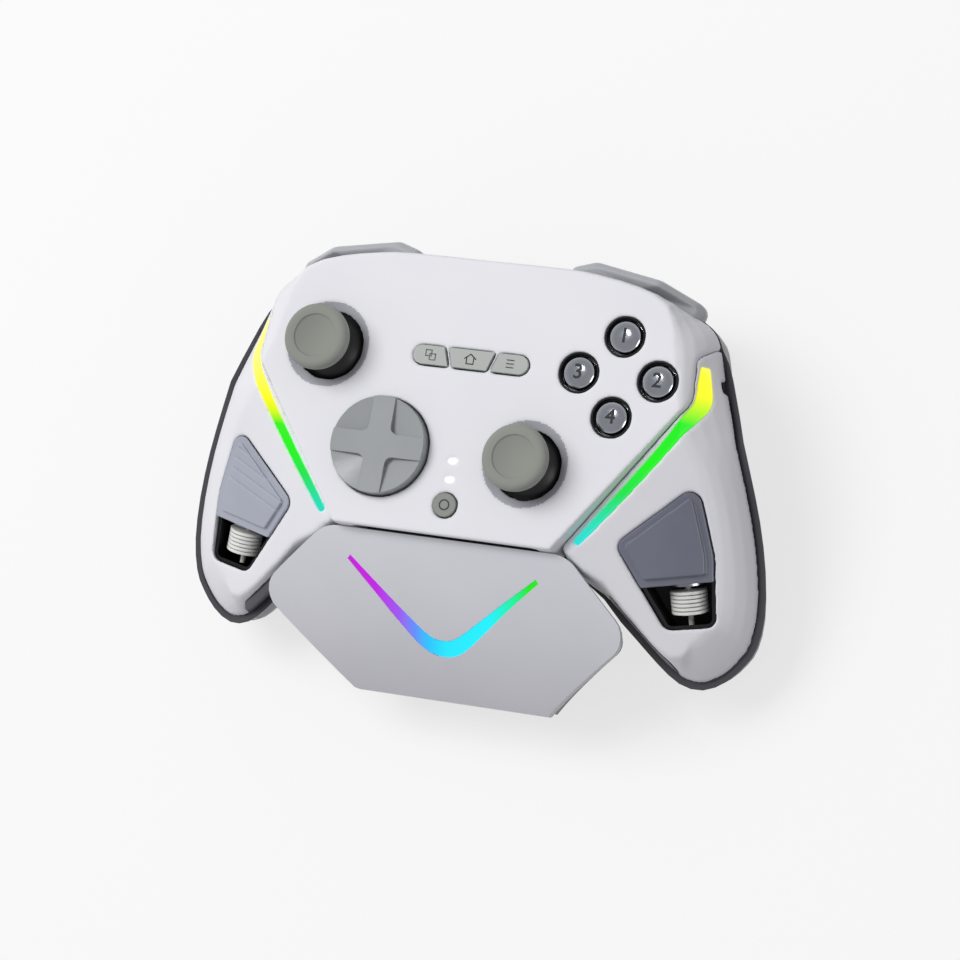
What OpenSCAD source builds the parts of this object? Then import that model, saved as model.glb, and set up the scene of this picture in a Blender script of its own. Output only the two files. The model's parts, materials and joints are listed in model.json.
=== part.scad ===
// Gamepad controller lying on its back, face up.
// Shapes are drawn in a face frame (z = 0 on the flat face) and lifted to the table frame.

/* [Housing] */
// Height of the flat face above the table
face_z = 52; // [51:0.5:54]
// Thickness of the shell walls
wall = 2.2; // [2:0.1:2.4]
// Distance of the far edge of the face from the middle
far_edge_y = 52.2; // [52:0.1:52.6]
// Distance of the near edge of the face from the middle
near_edge_y = 25.3; // [25:0.1:25.5]
// Depth of the seam of the white front below the face
seam_depth = 14.5; // [14:0.25:15]
// Depth of the middle of the dark back below the face
back_depth = 38; // [37:0.5:39]

/* [Grips] */
// Sideways slope of the grip fronts in degrees
grip_roll = 18; // [17.5:0.25:18.5]
// Lengthwise slope of the grip fronts, as rise over run
grip_rise = 0.324; // [0.32:0.002:0.33]
// Depth of the seam of a grip below its front
grip_seam = 9.3; // [9:0.1:9.6]
// Thickness of a grip from front to back
grip_depth = 32; // [31.5:0.25:32.5]

/* [Chin] */
// Radius of the curved plate between the grips
chin_r = 77; // [76.5:0.25:77.5]
// Thickness of the curved plate
chin_t = 1.8; // [1.5:0.1:2]

/* [Controls] */
// Diameter of a thumbstick cap
stick_cap_d = 18.2; // [17.6:0.1:18.6]
// Height of a thumbstick cap above the face
stick_h = 10.5; // [10:0.25:11]
// Diameter of the direction pad
dpad_d = 26.6; // [26.2:0.2:27]
// Diameter of a face button
button_d = 9; // [8.6:0.1:9.2]
// Distance of a face button from the middle of its group
button_ring = 11; // [10.8:0.1:11.4]
// Travel of a face button
button_travel = 1.2; // [0.8:0.1:1.2]
// Gap around moving pieces
gap = 0.4; // [0.35:0.05:0.45]

/* [Hidden] */
$fn = 48;

eps = 0.01;
// Radial room of a turning pin in its bore
run = 0.05;
// Places of the controls on the face
left_stick_at = [-41.6, 22.9];
right_stick_at = [20.3, -3.3];
dpad_at = [-21, -3.4];
buttons_at = [41.6, 22.9];
pill_y = 22.95;
pill_half_h = 2.6;
pill_half_w = 16.45;
mode_at = [0, -17];
mode_d = 6.4;
status_ys = [-4.9, -10];

// Point on the grip front from which its slopes are measured
grip_at = [60, -21, -11.4];
grip_slope = tan(grip_roll);
grip_pitch = atan(grip_rise * cos(grip_roll));

plate_t = 2.4;
seam_gap = 0.2;
// Room around a grip panel in the back
panel_gap = 0.3;

// Middle of the curved plate's cylinder
chin_axis = [-4.5, -1.2 - chin_r];

// Height of the grip front at a place on the right half
function grip_front(x, y) = grip_at[2] - (x - grip_at[0]) * grip_slope + (y - grip_at[1]) * grip_rise;

// Smooth closed curve through control points
function spline_point(a, b, c, d, t) =
  0.5 * ((2 * b) + (c - a) * t + (2 * a - 5 * b + 4 * c - d) * t * t + (3 * b - a - 3 * c + d) * t * t * t);
function closed_spline(p, steps) = let (n = len(p))
  [for (i = [0 : n - 1], k = [0 : steps - 1])
    spline_point(p[(i + n - 1) % n], p[i], p[(i + 1) % n], p[(i + 2) % n], k / steps)];
function open_spline(p, steps) = let (n = len(p))
  concat([for (i = [0 : n - 2], k = [0 : steps - 1])
    spline_point(p[max(i - 1, 0)], p[i], p[i + 1], p[min(i + 2, n - 1)], k / steps)], [p[n - 1]]);

function unit(v) = v / norm(v);
function mirrored(p) = [for (i = [len(p) - 1 : -1 : 0]) [-p[i][0], p[i][1]]];
function smooth(t) = let (c = max(0, min(1, t))) c * c * (3 - 2 * c);

// Inward normal at a point of a clockwise loop
function inward(p, i) = let (n = len(p), d = unit(p[(i + 1) % n] - p[(i + n - 1) % n])) [d[1], -d[0]];

// Corners given as [x, y, radius], each rounded by an arc
function rounded(c, steps = 6) = let (n = len(c)) [
  for (i = [0 : n - 1])
    let (
      p = [c[i][0], c[i][1]],
      a = unit([c[(i + n - 1) % n][0], c[(i + n - 1) % n][1]] - p),
      b = unit([c[(i + 1) % n][0], c[(i + 1) % n][1]] - p),
      half = acos(max(-1, min(1, a * b))) / 2,
      r = c[i][2],
      reach = r / tan(half),
      centre = p + unit(a + b) * r / sin(half),
      from = p + a * reach - centre,
      to = p + b * reach - centre,
      turn = 180 - 2 * half,
      way = from[0] * to[1] - from[1] * to[0] > 0 ? 1 : -1
    )
    each r == 0 ? [p] : [for (k = [0 : steps]) let (w = way * turn * k / steps)
      centre + [from[0] * cos(w) - from[1] * sin(w), from[0] * sin(w) + from[1] * cos(w)]]
];

function middle(p) = [for (k = [0 : 2]) let (v = [for (q = p) q[k]]) v * [for (q = p) 1] / len(p)];
// Closed solid through rings of equal length, first ring lowest.
// An end is one flat face, or triangles around its middle raised by the given height.
module ring_solid(rings, low_rise = undef, high_rise = undef) {
  n = len(rings[0]);
  m = len(rings);
  last = (m - 1) * n;
  bent_low = !is_undef(low_rise);
  bent_high = !is_undef(high_rise);
  sides = [for (k = [0 : m - 2], i = [0 : n - 1])
    let (a = k * n + i, b = k * n + (i + 1) % n) each [[a, b, b + n], [a, b + n, a + n]]];
  low_end = bent_low
    ? [for (i = [0 : n - 1]) [m * n, (i + 1) % n, i]]
    : [[for (i = [n - 1 : -1 : 0]) i]];
  high_end = bent_high
    ? [for (i = [0 : n - 1]) [m * n + (bent_low ? 1 : 0), last + i, last + (i + 1) % n]]
    : [[for (i = [0 : n - 1]) last + i]];
  middles = concat(
    bent_low ? [middle(rings[0]) + [0, 0, low_rise]] : [],
    bent_high ? [middle(rings[m - 1]) + [0, 0, high_rise]] : []
  );
  polyhedron(points = concat([for (r = rings) each r], middles), faces = concat(sides, low_end, high_end));
}

// Lofted walls and what is cut from them, joined into one faceted skin
module one_skin() { resize([0, 0, 0]) children(); }
module lifted() { translate([0, 0, face_z]) children(); }
module both_sides() {
  children();
  mirror([1, 0, 0]) children();
}
module one_side(right) { mirror([right ? 0 : 1, 0, 0]) children(); }

// Frame on the right grip front: x and y along it, z out of it
module grip_frame() { translate(grip_at) rotate([grip_pitch, grip_roll, 0]) children(); }
// Slab between two depths measured square to the grip front
module grip_slab(top, bottom) {
  grip_frame() translate([-100, -100, bottom]) cube([200, 200, top - bottom]);
}

// Points per span of the shell outlines
loop_steps = 2;

// Outline of the middle body at its seam, clockwise
body_half = [
  [22, far_edge_y], [32, far_edge_y - 0.8], [43, far_edge_y - 2.8], [53, far_edge_y - 6.2],
  [59.7, far_edge_y - 9.9], [63.1, far_edge_y - 13.1], [64.8, 35], [66, 28.5], [66.2, 14],
  [60, -6], [50, -20], [36, -25.6]
];
body_points = concat([[0, far_edge_y]], body_half, [[0, -26.2]], mirrored(body_half));
body_loop = closed_spline(body_points, loop_steps);

// Width over which the face rolls down to the seam
function body_roll(p) = 0.6 + 1.4 * smooth(p[1] / 40)
  + 7.5 * smooth((abs(p[0]) - 50) / 14) * smooth(p[1] / 24);
function body_ring(loop, inset, roll, z) = [for (i = [0 : len(loop) - 1])
  let (q = loop[i] + inward(loop, i) * (inset + roll * body_roll(loop[i]))) [q[0], q[1], z]];

// Rings between the seam and the flat of a front or back, outside and inside
roll_steps = 5;
core_steps = 3;
// Radius of the lower edge of the middle body, and where it starts below the face
back_roll = 8;
back_wall_z = seam_depth + 4;
// Powers of the curves from the seam to the face and to a grip front: 1 an ellipse, higher a flatter edge
face_power = 1.3;
roll_power = 1.4;
module body_front(inset, top) {
  ring_solid([for (f = roll_angles(true, roll_steps))
    let (z = -seam_depth + (seam_depth + top) * pow(sin(f), face_power))
    body_ring(body_loop, inset, 1 - pow(cos(f), face_power), z)]);
}
function roll_angles(up, steps) = [for (k = [0 : steps]) 90 * (up ? k : steps - k) / steps];
function back_rings(loop, inset, bottom, steps) = [for (f = roll_angles(false, steps))
  body_ring(loop, inset + back_roll * (1 - cos(f)), 0, -back_wall_z - (bottom - back_wall_z) * sin(f))];
module body_back() {
  top = -seam_depth - seam_gap;
  ring_solid(concat(back_rings(body_loop, 0, back_depth, roll_steps), [body_ring(body_loop, 0, 0, top)]));
}
module body_inside() {
  backs = back_rings(body_points, wall, back_depth - wall, core_steps);
  ring_solid(concat(backs, [body_ring(body_points, wall, 0, 0)]));
}

// Outline of the right grip at its seam, clockwise
grip_points = [
  [64.6, 36], [67.2, 27.5], [70.6, 18], [75, 4.3], [78.6, -8], [81, -20], [81.8, -31],
  [80.6, -39], [78.2, -43.6], [74.1, -48.3], [69, -51.2], [63.8, -50.6], [58.4, -46.8], [52.8, -41.8],
  [42.9, -33.2], [32.4, -25.5], [24, 0], [24, 28], [32, 43], [46, 45], [57, 42.5], [62, 39.6]
];
grip_loop = closed_spline(grip_points, loop_steps);
grip_side = [0.9, -0.43];
// 1 on the outer side and the tip of a grip, 0 along its inner edge
function grip_outer_share(loop, i) = smooth((0.35 - inward(loop, i) * grip_side) / 0.8);
function grip_roll_width(loop, i) = 2 + grip_outer_share(loop, i) * (7 + 6 * smooth(loop[i][1] / 25));
function grip_seam_z(p) = min(grip_front(p[0], p[1]) - grip_seam, -seam_depth);
function grip_front_ring(loop, f, inset, drop) = [for (i = [0 : len(loop) - 1])
  let (
    p = loop[i],
    q = p + inward(loop, i) * (inset + grip_roll_width(loop, i) * (1 - pow(cos(f), roll_power))),
    low = grip_seam_z(p)
  )
  [q[0], q[1], low + (grip_front(q[0], q[1]) - drop - low) * pow(sin(f), roll_power)]];
// Rim of the dark back that stands out around a grip panel
grip_rim = 1.8;
function rim_width(loop, i) = let (y = loop[i][1])
  grip_rim * max(grip_outer_share(loop, i) * smooth((37 - y) / 8), smooth((-30 - y) / 6));
// Height above which the hidden root of a grip back no longer follows its front
grip_high = -2;
grip_back_roll = 10;
function grip_back_ring(loop, f, inset, bottom) = [for (i = [0 : len(loop) - 1])
  let (
    p = loop[i],
    q = p + inward(loop, i) * (inset + grip_back_roll * (1 - cos(f))),
    side = grip_seam_z(p) - 4,
    low = min(grip_front(q[0], q[1]), grip_high) - bottom
  )
  [q[0], q[1], max(side + (low - side) * sin(f), inset - face_z)]];
function grip_rim_ring() = [for (i = [0 : len(grip_loop) - 1])
  let (p = grip_loop[i], q = p - inward(grip_loop, i) * rim_width(grip_loop, i))
  [q[0], q[1], grip_seam_z(p) - seam_gap]];
module grip_front_solid() {
  ring_solid([for (f = roll_angles(true, roll_steps)) grip_front_ring(grip_loop, f, 0, 0)], 2);
}
// Shallow round valley along the step between face and grip front
valley_at = [46.4, -3.5];
valley_way = [0.578, 0.816];
valley_r = 24;
valley_deep = 1.7;
module valley() {
  climb = valley_way[1] * grip_rise - valley_way[0] * grip_slope;
  translate([valley_at[0], valley_at[1], grip_front(valley_at[0], valley_at[1]) + valley_r - valley_deep])
    rotate([0, 90 - atan(climb), atan2(valley_way[1], valley_way[0])])
      cylinder(r = valley_r, h = 140, center = true, $fn = 120);
}
module grip_skin() {
  difference() {
    grip_front_solid();
    valley();
  }
}
module grip_back_solid() {
  backs = [for (f = roll_angles(false, roll_steps)) grip_back_ring(grip_loop, f, 0, grip_depth)];
  ring_solid(concat(backs, [grip_rim_ring()]), 0.3, -3);
}
module grip_inside() {
  backs = [for (f = roll_angles(false, core_steps)) grip_back_ring(grip_points, f, wall, grip_depth - wall)];
  fronts = [for (f = roll_angles(true, core_steps)) grip_front_ring(grip_points, f, wall, wall)];
  ring_solid(concat(backs, fronts), 0.5);
}

// Flat outlines, corners as [x, y, radius]
function mirror_corners(c) = [for (i = [len(c) - 1 : -1 : 0]) [-c[i][0], c[i][1], c[i][2]]];
function symmetric(half) = rounded(concat(half, mirror_corners(half)));
// Far end of the step between face and grip panel, and the lean of the edge beyond it
step_at = [60.9, 31];
step_lean = 1.45;
face_half = [
  [80, 60, 0], [80, step_at[1] + (80 - step_at[0]) * step_lean, 0], [step_at[0], step_at[1], 4.5],
  [61.9, 18.3, 7], [31, -near_edge_y, 0.6]
];
module face_outline() { polygon(symmetric(face_half)); }
chin_half = [[34.6, -near_edge_y - 0.3, 9], [53.6, -44.7, 6], [28.3, -66.1, 1.2]];
module chin_outline() { polygon(symmetric(chin_half)); }
// Middle line of the chin's light as [x, y, width]
vee_half = [[27, -33.3, 1.1], [19, -40.2, 1.9], [11, -47.2, 2.9], [4.6, -52.2, 3.6]];
vee_line = concat([for (p = vee_half) [-p[0], p[1], p[2]]], [[0, -53.3, 3.8]], reversed(vee_half));
module vee_outline() { ribbon(open_spline(vee_line, 3)); }
window_corners = [
  [66.2, -1.4, 3], [71.7, -19.2, 10], [73.4, -37.1, 2.8], [60.6, -40.1, 2.8], [46.3, -20.5, 3]
];
module window_outline() { polygon(rounded(window_corners)); }
module panel_area() {
  difference() {
    translate([30, -60]) square([60, 100]);
    offset(delta = seam_gap) face_outline();
  }
}
// Middle line of a light strip as [x, y, width]
strip_line = [
  [63.1, 29.2, 1.5], [63.7, 25, 2.5], [64.3, 20.3, 3.2], [63.3, 16.4, 3],
  [57.6, 7, 2.4], [49.6, -4.4, 2.1], [42.9, -13.4, 1.9], [36.4, -22, 1.5]
];
function ribbon_edge(c, side) = [for (i = [0 : len(c) - 1])
  let (
    a = c[max(i - 1, 0)],
    b = c[min(i + 1, len(c) - 1)],
    d = unit([b[0] - a[0], b[1] - a[1]])
  )
  [c[i][0] - side * d[1] * c[i][2] / 2, c[i][1] + side * d[0] * c[i][2] / 2]];
function reversed(p) = [for (i = [len(p) - 1 : -1 : 0]) p[i]];
module ribbon(c) { polygon(concat(ribbon_edge(c, 1), reversed(ribbon_edge(c, -1)))); }
module strip_outline() { ribbon(open_spline(strip_line, 4)); }
module stadium(w, h) {
  square([w - h, h], center = true);
  for (x = [-1, 1]) translate([x * (w - h) / 2, 0]) circle(d = h);
}

// Upright prism through a flat outline
module through(top = 20, bottom = -70) { translate([0, 0, bottom]) linear_extrude(top - bottom) children(); }

// Buttons on the face
button_hole_d = 11.2;
button_places = [for (a = [90, 0, 180, 270]) buttons_at + button_ring * [cos(a), sin(a)]];
centre_x = [-11.4, 0, 11.4];
pivot_depth = 11;
dome_r = 12.1;
socket_d = 24;
socket_hole_d = 17.8;
dpad_pivot_z = -2;
post_places = [[-22, 33], [24, 33], [8, 12], [5, -9]];
post_d = 4.4;
board_z = -8;
board_t = 1.4;
main_board_z = -23.4;
board_rests = [[-36, -8], [36, -8], [-36, 22], [36, 22]];
// Case screws from the back into long posts of the front
screw_places = [[-30, -19.5], [30, -19.5], [-15, 42.5], [15, 42.5]];
screw_post_z = 13 - back_depth;
screw_d = 2.4;
screw_head_d = 4.8;
screw_seat = 2;
screw_len = 17;
screw_tip_z = screw_seat + screw_len - back_depth;
boss_d = 5.6;
small_fn = 24;

// Shoulder controls on the right side
bumper_corners = [
  [21.5, 52.4, 2.4], [28.5, 54.6, 2.6], [47, 51.4, 8], [59.2, 46.6, 2.8], [57.6, 41.6, 2.4], [21.6, 43.8, 2.2]
];
bumper_top = -4;
bumper_bottom = -17;
// The top falls away toward the outer end
bumper_bend = 46;
bumper_fall = 0.06;
function bumper_top_z(x) = bumper_top - bumper_fall * pow(max(0, x - bumper_bend), 2);
bumper_pin_at = [24.4, 46.6];
bumper_pin_d = 2.4;
bumper_pin_z = -25.6;
bumper_pocket = [[20.9, 40], [60.6, 60]];
trigger_x = [29.4, 49.4];
trigger_pin_at = [37.5, -22.4];
trigger_pin_d = 2.6;
trigger_pin_x = 26;
trigger_profile = closed_spline([
  [37, -19], [44, -18.6], [50, -19.2], [51.8, -23.6], [51.6, -31.6], [49.6, -40], [46, -46.8], [42.6, -48.6],
  [41.4, -46.6], [43, -40.4], [43, -32.6], [40.8, -27], [36.6, -25.8], [34.2, -23], [34.6, -20.2]
], 4);
trigger_pocket = [28.2, 32.4, 51.2];
shelf_z = -17.8;

module stick_openings() {
  for (at = [left_stick_at, right_stick_at]) translate([at[0], at[1], -plate_t - eps]) {
    cylinder(d1 = socket_hole_d, d2 = socket_d, h = plate_t + 2 * eps);
  }
}
// Slanted ends of the three centre buttons: half width at mid height and lean
centre_split = 6.37;
centre_lean = 0.336;
centre_half_gap = 0.65;
module centre_button_outline(i, grow) {
  side = i - 1;
  edge = centre_split - centre_half_gap + grow;
  other = centre_split + centre_half_gap - grow;
  reach = 10;
  translate([0, pill_y]) intersection() {
    stadium(2 * (pill_half_w + grow), 2 * (pill_half_h + grow));
    if (i == 1) polygon([[-edge - centre_lean * reach, reach], [edge + centre_lean * reach, reach],
      [edge - centre_lean * reach, -reach], [-edge + centre_lean * reach, -reach]]);
    else polygon([[side * 30, reach], [side * (other + centre_lean * reach), reach],
      [side * (other - centre_lean * reach), -reach], [side * 30, -reach]]);
  }
}

// Room for a bumper under the far edge of the face
module bumper_opening() {
  xs = [bumper_pocket[0][0], bumper_bend, 50, 53, 56, 58.5, bumper_pocket[1][0]];
  deep = bumper_pocket[1][1] - bumper_pocket[0][1];
  roof = [for (x = xs) [x, bumper_top_z(x) + 0.6]];
  floor = [[bumper_pocket[1][0], -40], [bumper_pocket[0][0], -40]];
  translate([0, bumper_pocket[1][1], 0]) rotate([90, 0, 0]) linear_extrude(deep) polygon(concat(roof, floor));
}
module front_plate() {
  rooted = plate_t / 2;
  color("whitesmoke") lifted() difference() {
    union() {
      one_skin() difference() {
        intersection() {
          body_front(0, 0);
          through() face_outline();
        }
        intersection() {
          body_front(wall, -plate_t);
          through() offset(delta = -wall) face_outline();
        }
        // Open under the near edge for the chin's tongue
        translate([-26, -40, -30]) cube([52, 20, 30 - plate_t]);
      }
      for (p = post_places) translate([p[0], p[1], board_z]) cylinder(d = post_d, h = -board_z - rooted);
      for (p = screw_places) translate([p[0], p[1], screw_post_z])
        cylinder(d = boss_d, h = -screw_post_z - rooted);
    }
    for (p = screw_places) translate([p[0], p[1], screw_post_z - 1])
      cylinder(d = screw_d, h = screw_tip_z + 2 - screw_post_z);
    stick_openings();
    translate([dpad_at[0], dpad_at[1], -5]) cylinder(d = dpad_d + 2 * gap, h = 10);
    for (p = button_places) translate([p[0], p[1], -5]) cylinder(d = button_hole_d, h = 10);
    for (i = [0 : 2]) through() centre_button_outline(i, 0.3);
    translate([mode_at[0], mode_at[1], -5]) cylinder(d = mode_d + 2 * 0.3, h = 10);
    for (y = status_ys) through() translate([0, y]) stadium(2.7, 1.6);
    both_sides() bumper_opening();
  }
}

// Small slot at the seam of a grip, outer side
notch_at = [65.4, 24.2, -15.2];
notch_size = [3.2, 3, 3];
module side_notch() { translate(notch_at) cube(notch_size); }

// Inner wall band of a grip that holds its inlay
inlay_top = -2.8;
inlay_bottom = -8;
module inlay_band(grow) {
  translate([0, 0, -60]) linear_extrude(70)
    polygon([[43 - grow, -36], [40, -40], [62, -60], [63 + grow, -49.2], [58.4, -44], [52.8, -39.2],
      [46, -32.8]]);
}
module grip_panel() {
  color("whitesmoke") one_skin() difference() {
    intersection() {
      grip_skin();
      through() panel_area();
    }
    difference() {
      grip_inside();
      translate([0, 0, -wall - 1]) valley();
    }
    side_notch();
    through() window_outline();
    difference() {
      through(20, -12) offset(delta = 0.1) strip_outline();
      translate([0, 0, -1.6]) grip_skin();
    }
    intersection() {
      inlay_band(0.2);
      grip_slab(inlay_top + 0.2, inlay_bottom - 0.2);
    }
  }
}
module grip_inlay() {
  color("dimgray") difference() {
    intersection() {
      grip_front_solid();
      inlay_band(0);
      grip_slab(inlay_top, inlay_bottom);
    }
    grip_inside();
  }
}
module light_strip() {
  color("springgreen") one_skin() difference() {
    intersection() {
      translate([0, 0, 0.2]) grip_skin();
      through(20, -12) strip_outline();
    }
    translate([0, 0, -1.5]) grip_skin();
  }
}

// Raised rest in the middle of the back, clockwise corners
hump_corners = [[27, 36, 6], [27, -6, 6], [-27, -6, 6], [-27, 36, 6]];
hump_roll = 4;
module hump(inset, bottom) {
  loop = rounded(hump_corners, core_steps);
  sides = [for (f = roll_angles(false, core_steps))
    [inset + hump_roll * (1 - cos(f)), -bottom + hump_roll * (1 - sin(f))]];
  ring_solid([for (r = concat(sides, [[inset, -back_depth + hump_roll]]))
    [for (i = [0 : len(loop) - 1]) let (q = loop[i] + inward(loop, i) * r[0]) [q[0], q[1], r[1]]]]);
}
module rear_shell() {
  board_under = main_board_z - board_t;
  color("dimgray") lifted() one_skin() difference() {
    union() {
      difference() {
        union() {
          body_back();
          both_sides() grip_back_solid();
          hump(0, face_z);
        }
        body_inside();
        both_sides() grip_inside();
        hump(wall, face_z - wall);
      }
      for (p = board_rests) translate([p[0], p[1], -back_depth + 1])
        cylinder(d = boss_d, h = back_depth - 1 + board_under, $fn = small_fn);
      for (p = screw_places) translate([p[0], p[1], -back_depth + 1])
        cylinder(d = boss_d, h = back_depth - 1 + screw_post_z, $fn = small_fn);
    }
    both_sides() {
      translate([bumper_pocket[0][0], bumper_pocket[0][1], shelf_z])
        cube([bumper_pocket[1][0] - bumper_pocket[0][0], 20, 20]);
      translate([trigger_pocket[0], trigger_pocket[1], -70])
        cube([trigger_pocket[2] - trigger_pocket[0], 40, 80]);
      side_notch();
      intersection() {
        for (way = [-1, 1]) translate([way * panel_gap, -way * panel_gap, -seam_gap]) grip_front_solid();
        through() offset(delta = panel_gap) panel_area();
      }
    }
    translate([0, far_edge_y + 4, usb_z]) rotate([90, 0, 0]) linear_extrude(20)
      stadium(9.4, 3.6, $fn = small_fn);
    for (p = screw_places) translate([p[0], p[1], -back_depth]) {
      translate([0, 0, -10]) cylinder(d = screw_head_d + 2 * gap, h = 10 + screw_seat, $fn = small_fn);
      cylinder(d = screw_d + gap, h = 30, $fn = small_fn);
    }
  }
}
usb_z = -20;
module usb_port() {
  color("silver") lifted() translate([0, far_edge_y - 0.9, usb_z]) rotate([90, 0, 0]) {
    difference() {
      linear_extrude(7.4) stadium(9, 3.2);
      translate([0, 0, -eps]) linear_extrude(6.2) stadium(8.4, 2.6);
    }
    linear_extrude(6.8) square([6.6, 0.7], center = true);
  }
}

// Curved slab between two radii around the chin's axis
module chin_tube(outer, inner) {
  translate([-80, chin_axis[0], chin_axis[1]]) rotate([0, 90, 0]) difference() {
    cylinder(r = outer, h = 160, $fn = 180);
    translate([0, 0, -eps]) cylinder(r = inner, h = 160 + 2 * eps, $fn = 180);
  }
}
module chin_panel() {
  color("whitesmoke") lifted() intersection() {
    chin_tube(chin_r, chin_r - chin_t);
    through(0, -face_z) difference() {
      chin_outline();
      offset(delta = 0.1) vee_outline();
    }
  }
}
module chin_light() {
  color("deepskyblue") lifted() intersection() {
    chin_tube(chin_r + 0.1, chin_r - chin_t);
    through(0, -face_z) vee_outline();
  }
}
tray_deep = 5;
module chin_backing() {
  color("dimgray") lifted() {
    difference() {
      intersection() {
        chin_tube(chin_r - chin_t - 0.05, chin_r - chin_t - tray_deep);
        through(0, -60) offset(delta = -1.6) chin_outline();
      }
      intersection() {
        chin_tube(chin_r, chin_r - chin_t - tray_deep + wall);
        through(0, -60) offset(delta = -3.6) chin_outline();
      }
    }
    translate([-24, -29, -13]) cube([48, 8, 2.4]);
  }
}
module status_lights() {
  color("white") lifted() for (y = status_ys) translate([0, y, -plate_t - 1]) {
    linear_extrude(plate_t + 1.1) stadium(2.6, 1.5);
  }
}
module button_wells() {
  color("black") lifted() difference() {
    union() {
      for (p = button_places) translate([p[0], p[1], -plate_t - 1.4]) {
        cylinder(d = button_hole_d - 0.2, h = plate_t + 1.2);
        cylinder(d = button_hole_d + 0.4, h = 0.8);
      }
    }
    for (p = button_places) translate([p[0], p[1], -10]) cylinder(d = button_d + 2 * gap + 0.4, h = 20);
    // The outer well is trimmed where the face rolls down
    translate([buttons_at[0] + button_ring + 2.8, 0, -10]) cube([20, 60, 10 - plate_t]);
  }
}

// Motor in the right grip: y along its shaft, z out of the window
motor_at = [8, -12.1, -6.5];
motor_turn = 15;
// Place of the cover's lower edge along the shaft
cover_edge = 5.6;
motor_d = 9.4;
weight_r = 5;
module motor_frame() { grip_frame() translate(motor_at) rotate([0, 0, motor_turn]) children(); }
module along_shaft(from, to, d) {
  translate([0, from, 0]) rotate([-90, 0, 0]) cylinder(d = d, h = to - from);
}
module motor_cover(grooved) {
  color("slategray") difference() {
    union() {
      intersection() {
        through() offset(delta = -0.25) window_outline();
        grip_slab(0.3, -1.6);
        motor_frame() translate([-50, cover_edge, -50]) cube(100);
      }
      intersection() {
        through() offset(delta = -2.2) window_outline();
        grip_slab(1.3, 0);
        motor_frame() translate([-50, cover_edge + 2.4, -50]) cube(100);
      }
    }
    if (grooved) for (k = [0 : 6]) motor_frame() translate([-30, cover_edge + 5 + 3 * k, -motor_at[2] + 0.9])
      rotate([0, 0, 12]) cube([60, 0.5, 2]);
  }
}
bay_deep = 15;
module motor_bay() {
  color("black") difference() {
    intersection() {
      through() offset(delta = -seam_gap) window_outline();
      grip_slab(-1.8, -bay_deep);
    }
    intersection() {
      through() offset(delta = -seam_gap - 1) window_outline();
      grip_slab(5, 1 - bay_deep);
    }
  }
}
module rumble_motor() {
  color("silver") motor_frame() difference() {
    along_shaft(4.6, 17, motor_d);
    along_shaft(4, 8, 1.7);
  }
}
module rumble_weight() {
  plate = 0.82;
  color("white") motor_frame() {
    along_shaft(-6.6, 7.4, 1.5);
    along_shaft(-3.1, 3.1, 3);
    for (k = [0 : 5]) translate([0, -3.1 + k * (6.2 - plate) / 5, 0]) intersection() {
      along_shaft(0, plate, 2 * weight_r);
      translate([-10, -1, -0.6]) cube([20, 5, 10]);
    }
  }
}

// Stick parts around the pivot, z along the stick
module at_stick(at) { lifted() translate([at[0], at[1], -pivot_depth]) children(); }
cap_r = stick_cap_d / 2;
module thumbstick(at) {
  top = stick_h + pivot_depth;
  rim = 3.1;
  dish = 1.2;
  dish_step = 0.4;
  neck_r = 4.2;
  dome = [for (a = [19 : 6.5 : 71]) dome_r * [cos(a), sin(a)]];
  dome_in = [for (a = [71 : -7 : 22]) (dome_r - 1.2) * [cos(a), sin(a)]];
  side = [[neck_r, 12.3], [neck_r, top - 5.4], [cap_r - 1.6, top - 5.2], [cap_r - 0.7, top - 4.7],
    [cap_r - 0.3, top - 3.7], [cap_r, top - 1.9], [cap_r - 0.25, top - 0.9], [cap_r - 0.9, top - 0.2],
    [cap_r - 1.7, top]];
  bowl = concat([[cap_r - rim + 0.3, top]], [for (k = [0 : 5]) let (r = (cap_r - rim) * (1 - k / 5))
    [r, top - dish_step - dish * (1 - pow(r / (cap_r - rim), 2))]]);
  color("gray") at_stick(at) rotate_extrude($fn = 72)
    polygon(concat([[0, 9], [1.55, 9], [1.55, 4.2], [2.7, 4.2], [2.7, 10.6]], dome_in, dome, side, bowl));
}
module stick_stem(at) {
  color("silver") at_stick(at) {
    translate([0, 0, -2.4]) cylinder(r = 1.5, h = 10.4);
    translate([0, -3.4, 0]) rotate([-90, 0, 0]) cylinder(r = 1, h = 6.8);
  }
}
module stick_yoke(at) {
  color("black") at_stick(at) {
    difference() {
      translate([-5, -4.2, -1.7]) cube([10, 8.4, 3.4]);
      translate([-2.9, -2, -5]) cube([5.8, 4, 10]);
      translate([0, -10, 0]) rotate([-90, 0, 0]) cylinder(r = 1 + run, h = 20);
    }
    for (x = [-8.2, 4.9]) translate([x, 0, 0]) rotate([0, 90, 0]) cylinder(r = 1.2, h = 3.3);
  }
}
module stick_module(at) {
  floor_z = main_board_z + pivot_depth;
  color("gold") at_stick(at) {
    difference() {
      translate([-8.2, -8.2, floor_z]) cube([16.4, 16.4, -2.2 - floor_z]);
      translate([-7, -7, floor_z + 1]) cube([14, 14, 20]);
    }
    for (x = [-8.2, 7]) difference() {
      translate([x, -3.4, -3]) cube([1.2, 6.8, 5]);
      translate([-20, 0, 0]) rotate([0, 90, 0]) cylinder(r = 1.2 + run, h = 40);
    }
  }
}

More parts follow.
